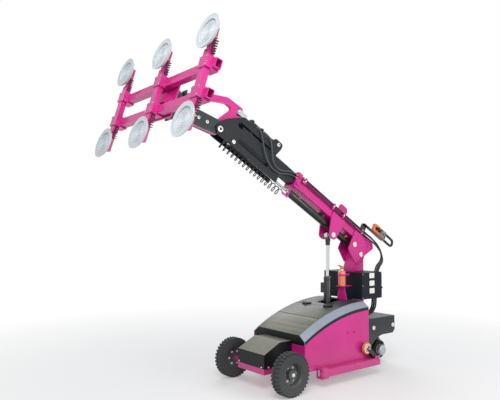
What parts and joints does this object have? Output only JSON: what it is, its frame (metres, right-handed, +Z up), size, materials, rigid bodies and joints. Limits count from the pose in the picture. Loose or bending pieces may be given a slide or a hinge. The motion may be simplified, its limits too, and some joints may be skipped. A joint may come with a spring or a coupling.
{
  "type": "glass panel lifter",
  "caption": "Compact wheeled lifter with a telescopic boom whose tilting, turning suction-cup frame carries glass panes.",
  "frame": {"origin": "on the floor, at the middle of the whole machine's bounding box", "axes": "+Z up, -Y towards the suction frame, +X to the machine's left as seen from behind its front"},
  "size_m": [1.762, 3.4696, 3.2644],
  "materials": {
    "magenta_paint": "gloss paint",
    "black_paint": "satin black paint",
    "gloss_black": "high-gloss black lacquer",
    "slate_paint": "semi-gloss dark slate paint",
    "silver_trim": "satin anodised",
    "steel": "brushed",
    "chrome": "hard chrome",
    "tyre_rubber": "moulded rubber",
    "rim_paint": "satin dark grey paint",
    "black_rubber": "matte rubber",
    "grey_hose": "smooth dark grey hose cover",
    "pale_rubber": "matte pale grey",
    "drive_tread": "cast polyurethane tread",
    "cream_plastic": "moulded",
    "white_plate": "white enamel",
    "orange_plastic": "moulded",
    "black_plastic": "moulded",
    "red_plastic": "moulded",
    "bottle_paint": "gloss salmon red paint",
    "battery_case": "moulded",
    "iron": "raw casting",
    "alloy": "cast and machined",
    "magenta_alloy": "gloss paint"
  },
  "bodies": {
    "chassis": {"chassis_frame": "magenta_paint", "rear_hood": "gloss_black", "hood_trims": "silver_trim", "side_panels": "magenta_paint", "nose_cover": "gloss_black", "rear_fender": "slate_paint", "outrigger_brackets": "magenta_paint", "chassis_fasteners": "steel", "mast_column": "magenta_paint", "box_signs": "white_plate", "control_box": "black_paint", "extinguisher_bottle": "bottle_paint", "extinguisher_bracket": "magenta_paint", "batteries": "battery_case", "power_pack": "alloy", "counterweights": "iron", "box_hoses": "black_rubber"},
    "front_wheel_left": {"front_tyre_left": "tyre_rubber", "front_rim_left": "rim_paint"},
    "front_wheel_right": {"front_tyre_right": "tyre_rubber", "front_rim_right": "rim_paint"},
    "hood_lid": {"front_hood": "gloss_black"},
    "steering": {"steering_yoke": "black_paint", "drive_motor": "black_paint", "brake_cover": "alloy"},
    "drive": {"drive_wheel": "drive_tread"},
    "arm_left": {"outrigger_arm_left": "magenta_paint"},
    "arm_right": {"outrigger_arm_right": "magenta_paint"},
    "fork_left": {"castor_fork_left": "black_paint"},
    "fork_right": {"castor_fork_right": "black_paint"},
    "castor_left": {"castor_wheel_left": "cream_plastic"},
    "castor_right": {"castor_wheel_right": "cream_plastic"},
    "boom": {"boom_tube": "magenta_paint", "boom_pins": "steel", "stage_barrel": "black_paint", "boom_pipes": "steel", "boom_hoses": "black_rubber", "remote_control": "orange_plastic"},
    "lift_rod_body": {"lift_rod": "chrome"},
    "lift_barrel_body": {"lift_barrel": "black_paint"},
    "inner": {"inner_boom": "black_paint", "head_plates": "black_paint", "stage_rod": "chrome", "spiral_hose": "black_rubber", "head_hoses": "grey_hose", "tilt_barrel": "black_paint"},
    "tilt_rod_body": {"tilt_rod": "chrome"},
    "bracket": {"tilt_arm": "magenta_paint", "tilt_cheeks": "slate_paint", "slew_drive": "black_paint"},
    "suction_frame": {"frame_beams": "magenta_paint", "frame_arms": "magenta_alloy", "frame_blocks": "magenta_alloy", "suction_cups": "pale_rubber", "cup_hoses": "black_rubber"},
    "stick_front_body": {"joystick_front": "black_plastic"},
    "stick_rear_body": {"joystick_rear": "black_plastic"},
    "stop_body": {"stop_button": "red_plastic"},
    "squeeze_lever": {"extinguisher_lever": "red_plastic"},
    "switch": {"main_switch": "red_plastic"}
  },
  "joints": [
    {"name": "front_wheel_left_spin", "type": "hinge", "parent": "chassis", "child": "front_wheel_left", "pos_m": [0.446, -0.335, 0.205], "axis": [1, 0, 0], "continuous": true},
    {"name": "front_wheel_right_spin", "type": "hinge", "parent": "chassis", "child": "front_wheel_right", "pos_m": [-0.446, -0.335, 0.205], "axis": [1, 0, 0], "continuous": true},
    {"name": "hood_lid_hinge", "type": "hinge", "parent": "chassis", "child": "hood_lid", "pos_m": [0, 0.465, 0.73821], "axis": [-1, 0, 0], "range_deg": [0, 45]},
    {"name": "steering_turn", "type": "hinge", "parent": "chassis", "child": "steering", "pos_m": [0, 1.333, 0.44], "axis": [0, 0, 1], "range_deg": [-90, 90]},
    {"name": "drive_wheel_spin", "type": "hinge", "parent": "steering", "child": "drive", "pos_m": [0, 1.333, 0.16], "axis": [1, 0, 0], "continuous": true},
    {"name": "outrigger_left_swing", "type": "hinge", "parent": "chassis", "child": "arm_left", "pos_m": [0.44, 0.105, 0.108], "axis": [0, 0, -1], "range_deg": [0, 100]},
    {"name": "castor_fork_left_fold", "type": "hinge", "parent": "arm_left", "child": "fork_left", "pos_m": [0.44, 0.915, 0.178], "axis": [-1, 0, 0], "range_deg": [0, 180]},
    {"name": "castor_left_spin", "type": "hinge", "parent": "fork_left", "child": "castor_left", "pos_m": [0.44, 0.765, 0.296], "axis": [1, 0, 0], "continuous": true},
    {"name": "outrigger_right_swing", "type": "hinge", "parent": "chassis", "child": "arm_right", "pos_m": [-0.44, 0.105, 0.108], "axis": [0, 0, 1], "range_deg": [0, 100]},
    {"name": "castor_fork_right_fold", "type": "hinge", "parent": "arm_right", "child": "fork_right", "pos_m": [-0.44, 0.915, 0.178], "axis": [-1, 0, 0], "range_deg": [0, 180]},
    {"name": "castor_right_spin", "type": "hinge", "parent": "fork_right", "child": "castor_right", "pos_m": [-0.44, 0.765, 0.296], "axis": [1, 0, 0], "continuous": true},
    {"name": "boom_lift", "type": "hinge", "parent": "chassis", "child": "boom", "pos_m": [0, 1.113, 1.262], "axis": [-1, 0, 0], "range_deg": [-30, 30], "deforming": ["boom_hoses"]},
    {"name": "lift_rod_swing", "type": "hinge", "parent": "boom", "child": "lift_rod_body", "pos_m": [0, 0.64987, 1.49059], "axis": [-1, 0, 0], "range_deg": [-26, 26]},
    {"name": "lift_barrel_slide", "type": "slide", "parent": "lift_rod_body", "child": "lift_barrel_body", "axis": [0, -0.0214, -0.9998], "range_m": [-0.243, 0.243]},
    {"name": "boom_extend", "type": "slide", "parent": "boom", "child": "inner", "axis": [0, -0.8607, 0.509], "range_m": [-0.28, 0.25], "deforming": ["spiral_hose", "head_hoses"]},
    {"name": "frame_tilt", "type": "hinge", "parent": "inner", "child": "bracket", "pos_m": [0, -0.87161, 2.50308], "axis": [-1, 0, 0], "range_deg": [-40, 8]},
    {"name": "tilt_rod_slide", "type": "slide", "parent": "inner", "child": "tilt_rod_body", "axis": [0, -0.8607, 0.509], "range_m": [-0.046, 0.215]},
    {"name": "frame_turn", "type": "hinge", "parent": "bracket", "child": "suction_frame", "pos_m": [0, -1.31172, 2.67091], "axis": [0, -0.9558, 0.294], "continuous": true},
    {"name": "joystick_front_tilt", "type": "hinge", "parent": "boom", "child": "stick_front_body", "pos_m": [0.1023, 1.38825, 1.56045], "axis": [0, 0.509, 0.8607], "range_deg": [-20, 20], "stiffness_Nm_per_rad": 1},
    {"name": "joystick_rear_tilt", "type": "hinge", "parent": "boom", "child": "stick_rear_body", "pos_m": [0.1023, 1.43301, 1.53398], "axis": [0, 0.509, 0.8607], "range_deg": [-20, 20], "stiffness_Nm_per_rad": 1},
    {"name": "stop_press", "type": "slide", "parent": "boom", "child": "stop_body", "axis": [-1, 0, 0], "range_m": [0, 0.004], "stiffness_N_per_m": 600},
    {"name": "squeeze_lever_hinge", "type": "hinge", "parent": "chassis", "child": "squeeze_lever", "pos_m": [0.101, 0.7735, 1.129], "axis": [1, 0, 0], "range_deg": [0, 8], "stiffness_Nm_per_rad": 4},
    {"name": "main_switch_turn", "type": "hinge", "parent": "chassis", "child": "switch", "pos_m": [0.24, 1.228, 0.89], "axis": [0, 1, 0], "range_deg": [0, 90]}
  ],
  "couplings": [
    {"joint": "lift_rod_swing", "follows": "boom_lift", "ratio": -0.82},
    {"joint": "lift_barrel_slide", "follows": "boom_lift", "m_per_rad": 0.455},
    {"joint": "tilt_rod_slide", "follows": "frame_tilt", "m_per_rad": -0.302}
  ]
}
